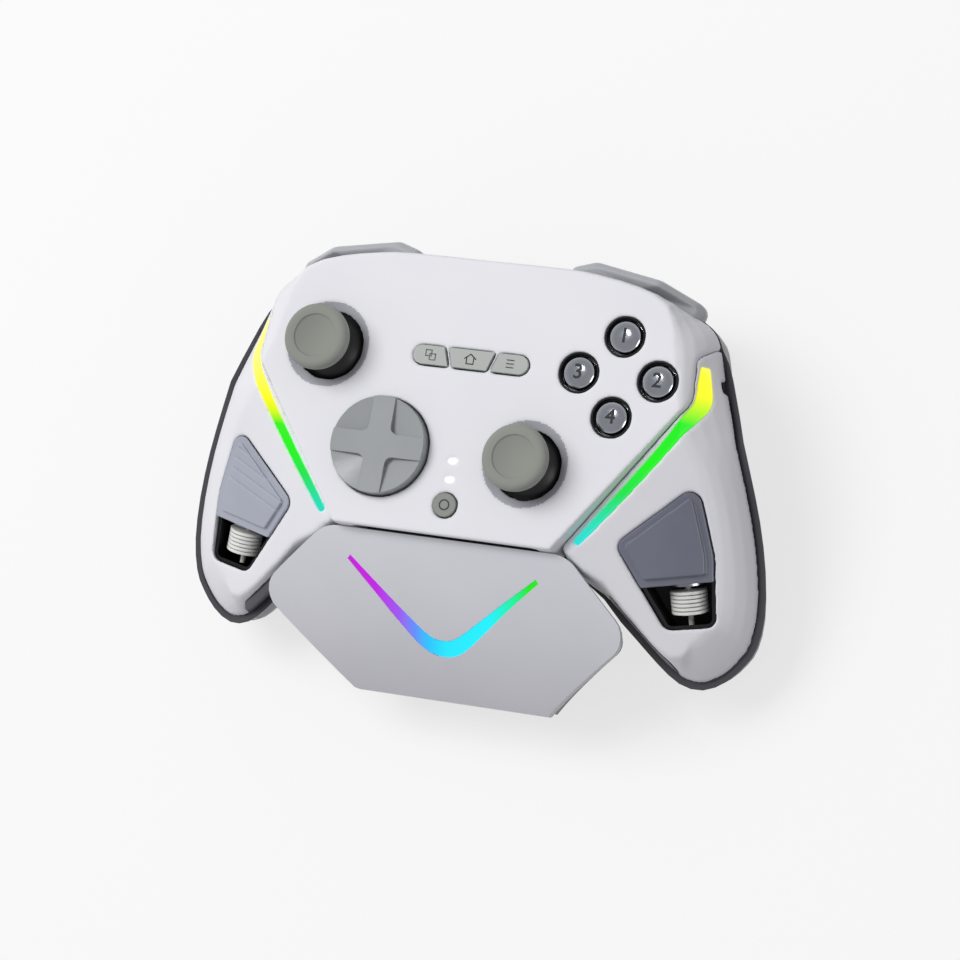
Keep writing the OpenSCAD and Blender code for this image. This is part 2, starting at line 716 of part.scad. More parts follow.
module dpad_bracket() {
  color("black") lifted() translate([dpad_at[0], dpad_at[1], board_z]) difference() {
    union() {
      translate([-4.8, -3, 0]) cube([9.6, 6, 0.8]);
      for (x = [-4.8, 3.6]) translate([x, -1.5, 0]) cube([1.2, 3, 7.1]);
    }
    translate([-10, 0, dpad_pivot_z - board_z]) rotate([0, 90, 0]) cylinder(r = 0.8 + run, h = 20);
  }
}
module dpad_pivot() {
  color("silver") lifted() translate([dpad_at[0], dpad_at[1], dpad_pivot_z]) {
    translate([-2.6, -2.6, -1]) cube([5.2, 5.2, 2]);
    translate([-4.6, 0, 0]) rotate([0, 90, 0]) cylinder(r = 0.8, h = 9.2);
    translate([0, -7.2, 0]) rotate([-90, 0, 0]) cylinder(r = 0.8, h = 14.4);
  }
}
arm_w = 6.3;
module dpad() {
  dpad_top = 3.4;
  dpad_low = -5.6;
  color("silver") lifted() translate([dpad_at[0], dpad_at[1], 0]) difference() {
    union() {
      translate([0, 0, dpad_low]) cylinder(d = dpad_d, h = dpad_top - dpad_low, $fn = 96);
      translate([0, 0, dpad_low]) cylinder(d = dpad_d + 2.2, h = 1.2, $fn = 96);
    }
    for (a = [45 : 90 : 315]) rotate([0, 0, a - 45]) intersection() {
      translate([arm_w / 2, arm_w / 2, 0]) linear_extrude(10)
        polygon(rounded([[0, 0, 2], [0, 20, 0], [20, 20, 0], [20, 0, 0]]));
      translate([0, 0, 1.3]) cylinder(r1 = 2, r2 = 32, h = 4.4, $fn = 96);
    }
    translate([0, 0, -6]) cylinder(r = 5.8, h = 6.2);
    translate([0, -7.4, dpad_pivot_z]) rotate([-90, 0, 0]) cylinder(r = 0.8 + run, h = 14.8);
  }
}

// Polyline of round-ended strokes
module strokes(points, width) {
  thin = 0.02;
  offset(r = width / 2, $fn = 16) for (i = [0 : len(points) - 2])
    let (a = points[i], b = points[i + 1], d = b - a)
    translate(a) rotate(atan2(d[1], d[0])) translate([0, -thin / 2]) square([norm(d), thin]);
}
function arc(c, r, from, to, n = 6) = [for (k = [0 : n])
  let (w = from + (to - from) * k / n) c + r * [cos(w), sin(w)]];
module numeral(i) {
  w = 0.7;
  if (i == 0) strokes([[-0.7, 1.2], [0.3, 2], [0.3, -2]], w);
  if (i == 1) strokes(concat(arc([0, 0.9], 1.1, 170, -35), [[-1.1, -2], [1.2, -2]]), w);
  if (i == 2) strokes(concat(arc([0, 1], 1, 150, -80), arc([0, -0.95], 1.05, 80, -150)), w);
  if (i == 3) strokes([[0.6, -2], [0.6, 2], [-1.2, -0.7], [1.3, -0.7]], w);
}
button_flange_z = -4.3;
button_foot_z = button_flange_z - 0.9;
module face_button(i) {
  r = button_d / 2;
  crown = 1.3;
  top = 0.5;
  color("gainsboro") lifted() translate([button_places[i][0], button_places[i][1], 0]) {
    foot_r = r + 1.2;
    foot = [[0, button_foot_z], [foot_r, button_foot_z], [foot_r, button_flange_z], [r, button_flange_z]];
    rotate_extrude($fn = 64) polygon(concat(foot,
      [for (k = [0 : 8]) let (x = r * (1 - k / 8)) [x, top - crown * pow(x / r, 2.4)]]));
    translate([0, 0, -1]) linear_extrude(1 + top + 0.16) numeral(i);
  }
}
centre_top = 0.5;
module view_mark() {
  for (p = [[-0.6, 0.5], [0.6, -0.5]]) translate(p) difference() {
    square(1.9, center = true);
    square(1.4, center = true);
  }
}
module home_mark() {
  strokes([[-1.6, 0.1], [0, 1.4], [1.6, 0.1]], 0.3);
  strokes([[-1, 0.4], [-1, -1.3], [1, -1.3], [1, 0.4]], 0.3);
}
module menu_mark() {
  for (y = [-1, 0, 1]) translate([0, y]) square([2.2, 0.32], center = true);
}
module centre_button(i) {
  color("darkgray") lifted() difference() {
    union() {
      translate([0, 0, -4.6]) linear_extrude(4.6 + centre_top) centre_button_outline(i, 0);
      translate([0, 0, -4.6]) linear_extrude(1) centre_button_outline(i, 0.5);
    }
    translate([centre_x[i], pill_y, centre_top - 0.25]) linear_extrude(1) {
      if (i == 0) view_mark();
      if (i == 1) home_mark();
      if (i == 2) menu_mark();
    }
  }
}
module mode_button() {
  color("gray") lifted() translate([mode_at[0], mode_at[1], 0]) difference() {
    union() {
      translate([0, 0, -4.6]) cylinder(d = mode_d, h = 4.6 + centre_top);
      translate([0, 0, -4.6]) cylinder(d = mode_d + 2, h = 1);
    }
    translate([0, 0, centre_top - 0.25]) linear_extrude(1) difference() {
      circle(d = 3);
      circle(d = 2.3);
    }
  }
}

module bumper() {
  loop = rounded(bumper_corners);
  n = len(loop);
  color("gray") difference() {
    // Each ring as [inset, share of the height]
    ring_solid([for (r = [[1.6, 0], [0.4, 0.04], [0, 0.14], [0, 0.8], [0.5, 0.93], [1.8, 1]])
      [for (i = [0 : n - 1]) let (q = loop[i] + inward(loop, i) * r[0])
        [q[0], q[1], bumper_bottom + r[1] * (bumper_top_z(q[0]) - bumper_bottom)]]], 0, 0);
    translate([bumper_pin_at[0], bumper_pin_at[1], -40]) cylinder(d = bumper_pin_d + 2 * run, h = 60);
  }
}
// Inner frame that carries the pins of a bumper and a trigger, standing on the main board
frame_back_y = 31.6;
frame_wall = 1.6;
frame_bottom = -27.6;
frame_x = [21.2, 29];
frame_far_y = 48;
foot_y = 24;
module shoulder_frame() {
  far_cheek = trigger_x[1] + gap;
  tall = shelf_z - frame_bottom;
  color("dimgray") difference() {
    union() {
      translate([frame_x[0], frame_back_y, frame_bottom]) {
        cube([trigger_pocket[2] - frame_x[0], frame_wall, tall]);
        cube([frame_x[1] - frame_x[0], frame_far_y - frame_back_y, tall]);
      }
      translate([far_cheek, frame_back_y, frame_bottom]) cube([trigger_pocket[2] - far_cheek, 10, tall]);
      translate([frame_x[0], foot_y, main_board_z]) cube([10, frame_back_y + 1 - foot_y, frame_wall]);
    }
    translate([bumper_pin_at[0], bumper_pin_at[1], -40]) cylinder(d = bumper_pin_d, h = 40);
    translate([trigger_pin_x, trigger_pin_at[0], trigger_pin_at[1]]) rotate([0, 90, 0])
      cylinder(d = trigger_pin_d, h = 40);
  }
}
module bumper_pin() {
  color("silver") translate([bumper_pin_at[0], bumper_pin_at[1], bumper_pin_z])
    cylinder(d = bumper_pin_d, h = bumper_top - bumper_pin_z);
}
module trigger() {
  color("gray") difference() {
    translate([trigger_x[0], 0, 0]) rotate([90, 0, 90]) linear_extrude(trigger_x[1] - trigger_x[0])
      polygon(trigger_profile);
    translate([0, trigger_pin_at[0], trigger_pin_at[1]]) rotate([0, 90, 0])
      cylinder(d = trigger_pin_d + 2 * run, h = 80);
  }
}
module trigger_pin() {
  color("silver") translate([trigger_pin_x + 0.2, trigger_pin_at[0], trigger_pin_at[1]])
    rotate([0, 90, 0]) cylinder(d = trigger_pin_d, h = trigger_pocket[2] - trigger_pin_x - 0.4);
}

module control_board() {
  color("darkgreen") lifted() difference() {
    translate([0, 0, board_z - board_t]) linear_extrude(board_t)
      polygon([[-27.5, 38], [50, 38], [58.4, 26], [58.4, 19], [34.5, -16], [26, -16], [24, -20], [-24, -20],
        [-26, -16], [-34, -16], [-36, 8], [-27.5, 12]]);
    translate([right_stick_at[0], right_stick_at[1], -20]) cylinder(r = dome_r + 0.7, h = 30);
  }
}
module button_mat() {
  pad_top = button_foot_z - button_travel - 0.4;
  mat_t = 0.6;
  color("gray") lifted() translate([0, 0, board_z]) {
    for (p = button_places) translate(p) cylinder(d = 8, h = pad_top - board_z);
    linear_extrude(mat_t) polygon([for (a = [45 : 90 : 315]) buttons_at + 20 * [cos(a), sin(a)] * 0.72]);
    for (x = centre_x) translate([x, pill_y, 0]) cylinder(d = 4, h = 1.6);
    translate([centre_x[0], pill_y - 1.5, 0]) cube([buttons_at[0] - centre_x[0], 3, mat_t]);
    translate([mode_at[0], mode_at[1], 0]) cylinder(d = 1.8, h = 1.6);
    translate([-0.9, mode_at[1], 0]) cube([1.8, pill_y - mode_at[1], mat_t]);
  }
}
module main_board() {
  color("darkgreen") lifted() translate([0, 0, main_board_z - board_t]) linear_extrude(board_t)
    polygon([[-52, 29.6], [52, 29.6], [52, 8], [40, -14], [-40, -14], [-52, 8]]);
}
module battery() {
  color("steelblue") lifted() translate([0, 15, -face_z + wall + 0.2]) linear_extrude(9.5)
    polygon(rounded([[20, 14, 3], [20, -14, 3], [-20, -14, 3], [-20, 14, 3]]));
}
module screws() {
  color("silver") lifted() for (p = screw_places) translate([p[0], p[1], -back_depth + screw_seat]) {
    translate([0, 0, -1.8]) cylinder(d = screw_head_d, h = 1.8);
    cylinder(d = screw_d, h = screw_len);
  }
}

front_plate();
lifted() one_side(false) grip_panel();  // left_grip_panel
lifted() one_side(true) grip_panel();  // right_grip_panel
rear_shell();
lifted() one_side(false) grip_inlay();  // left_grip_inlay
lifted() one_side(true) grip_inlay();  // right_grip_inlay
chin_panel();
chin_backing();
chin_light();
lifted() one_side(false) light_strip();  // left_light_strip
lifted() one_side(true) light_strip();  // right_light_strip
status_lights();
button_wells();
lifted() one_side(false) motor_cover(true);  // left_motor_cover
lifted() one_side(true) motor_cover(false);  // right_motor_cover
lifted() one_side(false) motor_bay();  // left_motor_bay
lifted() one_side(true) motor_bay();  // right_motor_bay
lifted() one_side(false) rumble_motor();  // left_rumble_motor
lifted() one_side(true) rumble_motor();  // right_rumble_motor
lifted() one_side(false) rumble_weight();  // left_rumble_weight
lifted() one_side(true) rumble_weight();  // right_rumble_weight
stick_module(left_stick_at);  // left_stick_module
stick_yoke(left_stick_at);  // left_stick_yoke
stick_stem(left_stick_at);  // left_stick_stem
thumbstick(left_stick_at);  // left_thumbstick
stick_module(right_stick_at);  // right_stick_module
stick_yoke(right_stick_at);  // right_stick_yoke
stick_stem(right_stick_at);  // right_stick_stem
thumbstick(right_stick_at);  // right_thumbstick
dpad_bracket();
dpad_pivot();
dpad();
face_button(0);  // face_button_1
face_button(1);  // face_button_2
face_button(2);  // face_button_3
face_button(3);  // face_button_4
centre_button(0);  // view_button
centre_button(1);  // home_button
centre_button(2);  // menu_button
mode_button();
lifted() one_side(false) bumper();  // left_bumper
lifted() one_side(true) bumper();  // right_bumper
lifted() one_side(false) bumper_pin();  // left_bumper_pin
lifted() one_side(true) bumper_pin();  // right_bumper_pin
lifted() one_side(false) trigger();  // left_trigger
lifted() one_side(true) trigger();  // right_trigger
lifted() one_side(false) trigger_pin();  // left_trigger_pin
lifted() one_side(true) trigger_pin();  // right_trigger_pin
lifted() one_side(false) shoulder_frame();  // left_shoulder_frame
lifted() one_side(true) shoulder_frame();  // right_shoulder_frame
control_board();
button_mat();
main_board();
battery();
usb_port();
screws();
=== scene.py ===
# %% [markdown]
# # A gamepad controller
# The frame holds every solid of the controller, in metres and in its real place: +X to the right of the
# person who holds it, +Y away from that person, +Z out of the face. It could all be modelled here again,
# but the solids are already true to size, so this lesson gives them edges, surfaces, light and a camera,
# and remodels only the turned controls that want a finer curve. Sizes below are in millimetres, and MM
# turns them to metres.

# %% Load the solids
import json
import math
import bpy
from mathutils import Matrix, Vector

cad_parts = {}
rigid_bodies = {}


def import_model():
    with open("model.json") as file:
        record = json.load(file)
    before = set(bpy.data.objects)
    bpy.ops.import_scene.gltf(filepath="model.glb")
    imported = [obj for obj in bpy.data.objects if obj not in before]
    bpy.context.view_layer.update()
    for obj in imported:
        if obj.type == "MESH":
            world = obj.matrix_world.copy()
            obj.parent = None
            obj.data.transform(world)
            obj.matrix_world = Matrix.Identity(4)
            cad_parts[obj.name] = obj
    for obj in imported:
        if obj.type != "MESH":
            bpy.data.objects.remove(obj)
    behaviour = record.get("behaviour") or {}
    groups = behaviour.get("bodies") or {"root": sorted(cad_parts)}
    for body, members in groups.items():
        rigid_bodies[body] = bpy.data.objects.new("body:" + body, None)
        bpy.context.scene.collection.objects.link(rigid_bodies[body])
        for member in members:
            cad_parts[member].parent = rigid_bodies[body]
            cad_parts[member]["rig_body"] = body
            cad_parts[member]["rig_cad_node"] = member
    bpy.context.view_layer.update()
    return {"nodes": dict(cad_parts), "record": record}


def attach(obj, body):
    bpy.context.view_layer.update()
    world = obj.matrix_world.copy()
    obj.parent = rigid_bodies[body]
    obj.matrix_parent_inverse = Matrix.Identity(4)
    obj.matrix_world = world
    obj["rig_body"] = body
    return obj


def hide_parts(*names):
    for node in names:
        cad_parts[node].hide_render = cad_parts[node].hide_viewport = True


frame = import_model()
MM = 0.001

# %% [markdown]
# ## The camera
# The picture was taken with a long lens from above, to the right of the middle and a little towards the
# grips. The place and the turn below come from matching known points of the face, so the outline falls
# where it should. A long lens keeps the far and the near grip almost the same size.

# %% Set the camera
LENS_MM = 131.594
SENSOR_MM = 36
CAMERA_AT = (0.322107, -0.138833, 0.921892)
CAMERA_TURN = (11.42253, 18.10779, 10.542475)

lens_data = bpy.data.cameras.new("studio_lens")
lens_data.lens = LENS_MM
lens_data.sensor_width = SENSOR_MM
lens_data.clip_end = 10
camera = bpy.data.objects.new("studio_camera", lens_data)
bpy.context.scene.collection.objects.link(camera)
camera.location = CAMERA_AT
camera.rotation_euler = [math.radians(a) for a in CAMERA_TURN]
bpy.context.scene.camera = camera
bpy.context.scene.view_settings.view_transform = "Standard"
print("camera at", [round(v, 3) for v in camera.location])


# %% [markdown]
# ## Colours and nodes
# A colour picked on a screen is an sRGB value, while a shader works in linear light, so one function turns
# a hex code into linear numbers. Another small function adds a node, sets it and links it.

# %% Helpers for materials
def linear(code):
    channels = [int(code[i:i + 2], 16) / 255 for i in (1, 3, 5)]
    return [c / 12.92 if c <= 0.04045 else ((c + 0.055) / 1.055) ** 2.4 for c in channels] + [1.0]


def add(tree, kind, settings=None, links=None):
    node = tree.nodes.new(kind)
    for name, value in (settings or {}).items():
        if isinstance(name, str) and hasattr(node, name):
            setattr(node, name, value)
        else:
            node.inputs[name].default_value = value
    for name, source in (links or {}).items():
        tree.links.new(source, node.inputs[name])
    return node


def new_material(name):
    material = bpy.data.materials.new(name)
    material.use_nodes = True
    tree = material.node_tree
    shader = next(n for n in tree.nodes if n.type == "BSDF_PRINCIPLED")
    place = add(tree, "ShaderNodeTexCoord").outputs["Object"]
    return material, tree, shader, place


print("white ABS in linear light:", [round(c, 3) for c in linear("#E6E6EC")[:3]])

# %% [markdown]
# ## A curved plate
# The plate between the grips is part of a cylinder. Its solid has a few long facets, which a finer mesh could
# hide. It is less work to take the shading normal from the cylinder's axis, and the facets then shade like one
# even curve. Only faces of the outer side get it; the edges keep the normal they had.

# %% Follow a cylinder
# Where the cylinder's axis crosses Y and Z
CHIN_AXIS = (-4.5, -26.2)
# A face within about 18 degrees of the round normal belongs to the outer side
OUTER_COSINE = 0.95


def round_normal(tree, place, axis, edge):
    out = add(tree, "ShaderNodeVectorMath",
              {"operation": "SUBTRACT", 1: (0, axis[0] * MM, axis[1] * MM)}, {0: place})
    flat = add(tree, "ShaderNodeVectorMath",
               {"operation": "MULTIPLY", 1: (0, 1, 1)}, {0: out.outputs["Vector"]})
    way = add(tree, "ShaderNodeVectorMath",
              {"operation": "NORMALIZE"}, {0: flat.outputs["Vector"]}).outputs["Vector"]
    face = add(tree, "ShaderNodeNewGeometry").outputs["True Normal"]
    alike = add(tree, "ShaderNodeVectorMath", {"operation": "DOT_PRODUCT"}, {0: way, 1: face})
    outer = add(tree, "ShaderNodeMath",
                {"operation": "GREATER_THAN", 1: OUTER_COSINE}, {0: alike.outputs["Value"]})
    mixed = add(tree, "ShaderNodeMix", {"data_type": "VECTOR"},
                {0: outer.outputs["Value"], 4: edge.outputs["Normal"], 5: way})
    return add(tree, "ShaderNodeVectorMath", {"operation": "NORMALIZE"}, {0: mixed.outputs[1]})


print("axis of the curved plate:", CHIN_AXIS)

# %% [markdown]
# ## Moulded plastics
# An injection mould is spark-eroded or polished, and the plastic copies that surface: a satin shell shows a
# fine even grain, a polished key shows almost none. A picture of a grain could give that, but a noise at the
# grain's own size has no seams. The real grain of about 0.1 mm is finer than one pixel here, so it is drawn at
# 0.4 mm. A second, slow noise gives the small unevenness of colour and gloss that every large moulding has. A
# bevel node rounds the shading of every edge by the radius a mould maker would cut, which real bevels could not
# do on so many small faces.

# %% Mould a plastic
FLOW_MM = 30
GLOSS_SPREAD = 0.06
ABS_IOR = 1.53


def moulded(name, light, dark, roughness, grain_mm=0.4, grain_depth_mm=0.006, edge_mm=0.25, axis=None):
    material, tree, shader, place = new_material(name)
    flow = add(tree, "ShaderNodeTexNoise", {"Scale": 1 / (FLOW_MM * MM), "Detail": 3}, {"Vector": place})
    tint = add(tree, "ShaderNodeValToRGB", {}, {"Fac": flow.outputs["Fac"]})
    tint.color_ramp.elements[0].position = 0.3
    tint.color_ramp.elements[0].color = linear(dark)
    tint.color_ramp.elements[1].position = 0.7
    tint.color_ramp.elements[1].color = linear(light)
    tree.links.new(tint.outputs["Color"], shader.inputs["Base Color"])
    gloss = add(tree, "ShaderNodeMapRange",
                {"To Min": roughness - GLOSS_SPREAD, "To Max": roughness + GLOSS_SPREAD},
                {"Value": flow.outputs["Fac"]})
    tree.links.new(gloss.outputs["Result"], shader.inputs["Roughness"])
    grain = add(tree, "ShaderNodeTexNoise", {"Scale": 1 / (grain_mm * MM), "Detail": 2}, {"Vector": place})
    edge = add(tree, "ShaderNodeBevel", {"samples": 6, "Radius": edge_mm * MM})
    if axis:
        edge = round_normal(tree, place, axis, edge)
    bump = add(tree, "ShaderNodeBump", {"Strength": 0.5, "Distance": grain_depth_mm * MM},
               {"Height": grain.outputs["Fac"], "Normal": edge.outputs[0]})
    tree.links.new(bump.outputs["Normal"], shader.inputs["Normal"])
    shader.inputs["IOR"].default_value = ABS_IOR
    return material


print("slow unevenness every", FLOW_MM, "mm")

# %% [markdown]
# Each plastic has two near colours, between which the slow noise wanders, and a roughness. The shell is one
# white plastic throughout; the curved plate is coloured greyer than the face as painted shade, and a socket
# greyer still, as painted shade in its recess.

# %% Mix the shell's plastics
# Satin white: a soft, wide highlight and no mirror image
white_abs = moulded("white_abs_satin_moulded", "#F1F1F5", "#EDEDF2", 0.42)
# Same white plastic in a finer satin; its greyer colour is painted shade on the curved plate
chin_white_painted_shade = moulded("white_abs_fine_painted_shade", "#DCDCE2", "#D7D7DE", 0.38, edge_mm=0.35, axis=CHIN_AXIS)
# Polished in the mould: a narrower highlight, and a greyer colour that is painted shade in the socket's recess
socket_white_painted_shade = moulded("white_abs_socket_painted_shade", "#C2C2CA", "#B8B8C0", 0.25, grain_depth_mm=0.002)
# Coarse grain on charcoal: the highlight breaks up into a dull sheen
dark_abs = moulded("charcoal_abs_grained", "#525257", "#47474C", 0.34, grain_mm=0.7, grain_depth_mm=0.012)
# Cups and wells so dark that only their edges show
black_abs = moulded("black_abs_moulded", "#101012", "#0B0B0D", 0.45)
# Half gloss: clear but soft reflections on shoulders and covers
shoulder_abs = moulded("grey_abs_half_gloss", "#BABCC0", "#B0B2B6", 0.3, grain_depth_mm=0.003)
# One slate plastic for both covers: a lighter copy as painted light on the left, a darker copy as painted shade
# on the right
slate_painted_light_copy = moulded("half_gloss_slate_painted_light", "#B4B8C4", "#A8ACB8", 0.3, grain_depth_mm=0.003)
slate_painted_shade_copy = moulded("half_gloss_slate_painted_shade", "#7C7F8D", "#727583", 0.32, grain_depth_mm=0.003)
print("shell plastics:", len(bpy.data.materials))

# %% [markdown]
# The controls are made of stiffer or softer plastics than the shell: polished keys, satin buttons, caps of
# elastomer that feel dry and look dull. The inner pieces get the plain finishes they have in any pad.

# %% Mix the plastics of controls and inner pieces
# Polished key: the light shows almost as a shape
key_abs = moulded("grey_abs_polished", "#A4A7A8", "#9A9D9E", 0.2, grain_depth_mm=0.002)
# Satin buttons: small edges, even tone
centre_abs = moulded("pale_grey_abs_satin", "#BCC0BC", "#B4B8B4", 0.35, grain_depth_mm=0.003, edge_mm=0.12)
mode_abs = moulded("mid_grey_abs_satin", "#969994", "#8E918C", 0.38, grain_depth_mm=0.003, edge_mm=0.12)
# Soft-touch elastomer: no highlight on the cap, a faint one on the black skirt
stick_rubber = moulded("grey_elastomer_soft_touch", "#969891", "#8F918A", 0.6,
                       grain_mm=0.5, grain_depth_mm=0.012)
skirt_rubber = moulded("black_elastomer_soft_touch", "#1A1A1B", "#131314", 0.4)
# Printed ink: flat and dull
ink = moulded("dark_ink_pad_printed", "#3A3C3E", "#323436", 0.5,
              grain_mm=0.2, grain_depth_mm=0.002, edge_mm=0.05)
# Inner pieces: milky silicone, coated board, shrunk film
silicone = moulded("translucent_silicone_moulded", "#9A9A9C", "#8E8E90", 0.5)
laminate = moulded("green_laminate_coated", "#0F4A2A", "#0B3D22", 0.35, grain_mm=1.2)
cell_film = moulded("blue_film_wrapped", "#4A6E9A", "#426489", 0.3, grain_mm=3)
print("plastics in all:", len(bpy.data.materials))


# %% [markdown]
# ## Metals
# The round buttons are plastic plated with chrome, the pins and stems are turned steel, and the rumble
# weights are painted. Metallic is 1 and the colour is the reflection's tint. Turning leaves fine rings, which
# a stretched noise gives; plating leaves a faint waviness.

# %% Plate, turn and paint
def metal(name, light, dark, roughness, wave_mm, wave_depth_mm, stretch=(1, 1, 1)):
    material, tree, shader, place = new_material(name)
    lay = add(tree, "ShaderNodeMapping", {"Scale": stretch}, {"Vector": place})
    wave = add(tree, "ShaderNodeTexNoise", {"Scale": 1 / (wave_mm * MM), "Detail": 3},
               {"Vector": lay.outputs["Vector"]})
    tint = add(tree, "ShaderNodeValToRGB", {}, {"Fac": wave.outputs["Fac"]})
    tint.color_ramp.elements[0].color = linear(dark)
    tint.color_ramp.elements[1].color = linear(light)
    tree.links.new(tint.outputs["Color"], shader.inputs["Base Color"])
    gloss = add(tree, "ShaderNodeMapRange", {"To Min": roughness * 0.7, "To Max": roughness * 1.3},
                {"Value": wave.outputs["Fac"]})
    tree.links.new(gloss.outputs["Result"], shader.inputs["Roughness"])
    bump = add(tree, "ShaderNodeBump", {"Strength": 0.4, "Distance": wave_depth_mm * MM},
               {"Height": wave.outputs["Fac"]})
    tree.links.new(bump.outputs["Normal"], shader.inputs["Normal"])
    shader.inputs["Metallic"].default_value = 1
    return material


# Plated plastic: a mirror that is a little soft
chrome = metal("chrome_plated_polished", "#D4D8DE", "#BCC0C6", 0.16, 3, 0.01)
# Turned steel: the rings draw the highlight out across them
steel = metal("steel_turned", "#B8B8BA", "#9C9C9E", 0.3, 0.6, 0.005, (1, 6, 6))
# Enamel hides the metal: a white coat with a clear highlight
weight_paint = moulded("white_enamel_on_steel", "#F4F4F0", "#EAEAE6", 0.35, grain_mm=0.6, grain_depth_mm=0.004)
print("metal finishes:", chrome.name, steel.name, weight_paint.name)

# %% [markdown]
# ## Light pipes
# The strips are clear plastic with coloured diodes behind them, so they glow. Lamps behind a clear mesh could
# do that, but would be noisy. A ramp along the piece's own place gives the colours instead, and each strip
# has its own ramp, because the two don't glow alike. Emission at strength 1 shows a colour about as it is
# written; more would only bleach it.


# %% Glow along a line
def light_pipe(name, axis, start_mm, end_mm, stops):
    material, tree, shader, place = new_material(name)
    along = add(tree, "ShaderNodeSeparateXYZ", {}, {"Vector": place}).outputs[axis]
    share = add(tree, "ShaderNodeMapRange", {"From Min": start_mm * MM, "From Max": end_mm * MM},
                {"Value": along})
    ramp = add(tree, "ShaderNodeValToRGB", {}, {"Fac": share.outputs["Result"]})
    points = ramp.color_ramp.elements
    while len(points) < len(stops):
        points.new(0.5)
    for point, (position, colour) in zip(points, stops):
        point.position = position
        point.color = linear(colour)
    tree.links.new(ramp.outputs["Color"], shader.inputs["Emission Color"])
    shader.inputs["Emission Strength"].default_value = 1
    shader.inputs["Base Color"].default_value = linear("#101010")
    shader.inputs["Roughness"].default_value = 0.5
    return material


# Lit clear plastic: even colour with no highlight of its own
STRIP_STOPS = [(0.0, "#14DCE0"), (0.1, "#1EE0C8"), (0.3, "#0AE24A"), (0.45, "#06F206"), (0.68, "#0CF000"),
               (0.78, "#C8FA00"), (0.84, "#FCFC00"), (0.93, "#FFFF10"), (1.0, "#FCFC50")]
strip_light = light_pipe("clear_pmma_lit_strip", "Y", -24, 30, STRIP_STOPS)
PALE_STOPS = [(0.0, "#1EDCD0"), (0.07, "#14DCB0"), (0.2, "#0AE24A"), (0.3, "#06F206"), (0.44, "#30F200"),
              (0.5, "#D8FA00"), (0.56, "#FCFC00"), (0.7, "#FDFD60"), (1.0, "#FCFC90")]
pale_strip_light = light_pipe("clear_pmma_lit_pale_strip", "Y", -24, 30, PALE_STOPS)
VEE_STOPS = [(0.0, "#C800D8"), (0.16, "#BE10E2"), (0.28, "#9A50F0"), (0.36, "#5A8CFA"), (0.42, "#18BEFE"),
             (0.52, "#00E6FF"), (0.74, "#00F0FF"), (0.86, "#0AF0A0"), (0.94, "#10E810"), (1.0, "#22E600")]
vee_light = light_pipe("clear_pmma_lit_vee", "X", -28, 28, VEE_STOPS)
status_light = light_pipe("clear_pmma_lit_white", "Y", -12, -3, [(0.0, "#FFFFFF"), (1.0, "#FDFDFF")])
print("light pipes:", strip_light.name, pale_strip_light.name, vee_light.name, status_light.name)


# %% [markdown]
# ## Taking a copy of a solid
# A finished piece stands for a node of the frame and rides on the same body, so that it moves with it. Its
# start is a copy of the node's mesh: loose triangles, whose doubles are merged and whose stored normals are
# dropped. The node itself is never changed.

# %% Copy a solid and seat a finished piece
MERGE_MM = 0.002


def only(piece):
    bpy.ops.object.select_all(action="DESELECT")
    piece.select_set(True)
    bpy.context.view_layer.objects.active = piece


def body_of(node):
    return next(b for b, names in frame["record"]["behaviour"]["bodies"].items() if node in names)


def slot_of(node):
    return next(p["material_slot"] for p in frame["record"]["subparts"] if p["node"] == node)


def seat(piece, node, materials):
    piece.data.materials.clear()
    for material in materials:
        piece.data.materials.append(material)
    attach(piece, body_of(node))
    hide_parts(node)


def copy_of(node):
    only(frame["nodes"][node])
    bpy.ops.object.duplicate()
    piece = bpy.context.active_object
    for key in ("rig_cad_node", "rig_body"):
        if key in piece:
            del piece[key]
    piece.parent = None
    piece.name = node + "_moulding"
    piece.data.name = piece.name
    bpy.ops.mesh.customdata_custom_splitnormals_clear()
    bpy.ops.object.mode_set(mode="EDIT")
    bpy.ops.mesh.select_all(action="SELECT")
    bpy.ops.mesh.remove_doubles(threshold=MERGE_MM * MM)
    bpy.ops.object.mode_set(mode="OBJECT")
    return piece


print("the pad rides on", body_of("dpad"), "in slot", slot_of("dpad"))

# %% [markdown]
# ## Dressing a moulding
# A solid has knife-sharp edges. A moulding never has such edges, and it is the thin highlight on a rounded
# edge that makes it look made. So the copy's flat triangles become whole faces, its sharp edges are bevelled,
# and the rest is shaded smooth, with normals weighted by face size so that a flat stays flat up to its edge.
# An edge of 0 leaves the solid's own edges to the material's bevel node.

# %% Bevel and smooth the flat mouldings
FLAT_DEG = 0.4
SHARP_DEG = 34


def dressed(node, material, edge_mm):
    piece = copy_of(node)
    if edge_mm:
        bpy.ops.object.mode_set(mode="EDIT")
        bpy.ops.mesh.select_all(action="SELECT")
        bpy.ops.mesh.dissolve_limited(angle_limit=math.radians(FLAT_DEG))
        bpy.ops.object.mode_set(mode="OBJECT")
        bevel = piece.modifiers.new("rounded_edges", "BEVEL")
        bevel.width = edge_mm * MM
        bevel.segments = 3
        bevel.limit_method = "ANGLE"
        bevel.angle_limit = math.radians(SHARP_DEG)
        bpy.ops.object.modifier_apply(modifier=bevel.name)
    bpy.ops.object.shade_smooth_by_angle(angle=math.radians(SHARP_DEG))
    if edge_mm:
        even = piece.modifiers.new("even_normals", "WEIGHTED_NORMAL")
        even.keep_sharp = True
        bpy.ops.object.modifier_apply(modifier=even.name)
    seat(piece, node, [material])
    return piece


